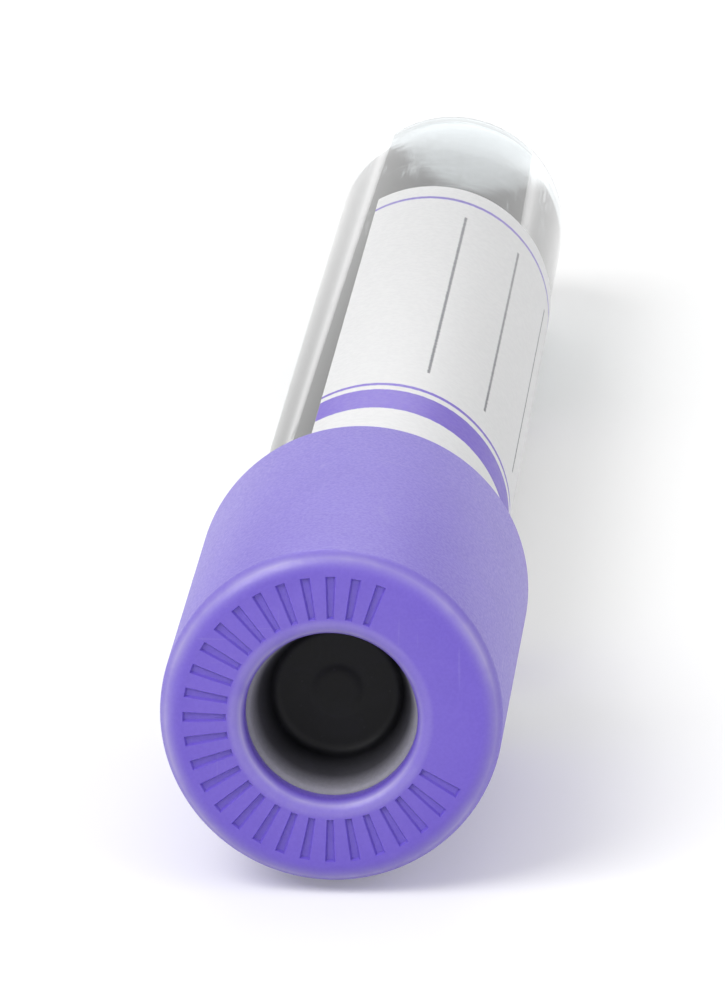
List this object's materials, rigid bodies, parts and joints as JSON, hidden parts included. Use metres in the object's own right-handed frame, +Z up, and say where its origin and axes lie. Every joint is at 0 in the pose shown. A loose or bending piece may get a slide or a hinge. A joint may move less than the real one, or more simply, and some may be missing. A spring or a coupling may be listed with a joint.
{
  "type": "blood collection tube",
  "caption": "Clear round-bottomed plastic blood collection tube with a purple pull-off cap, a rubber stopper with a needle well, and a wrapped blank label.",
  "frame": {"origin": "centre of the bounding box at floor level, with the tube lying on the open end of its cap's skirt and on its round end", "axes": "+Z up; the tube lies along Y with its cap's face towards -Y and its round end towards +Y, leaning 1.5 degrees down towards the round end"},
  "size_m": [0.0164, 0.1072, 0.0171],
  "materials": {
    "cap": "satin",
    "stopper": "satin",
    "tube": "gloss",
    "label": "satin",
    "additive": "gloss"
  },
  "bodies": {
    "tube_body": {"tube": "tube", "label": "label", "additive": "additive"},
    "closure": {"cap": "cap", "stopper": "stopper"}
  },
  "joints": [
    {"name": "closure_pull", "type": "slide", "parent": "tube_body", "child": "closure", "axis": [0, -0.9997, 0.0259], "range_m": [0, 0.045]}
  ]
}
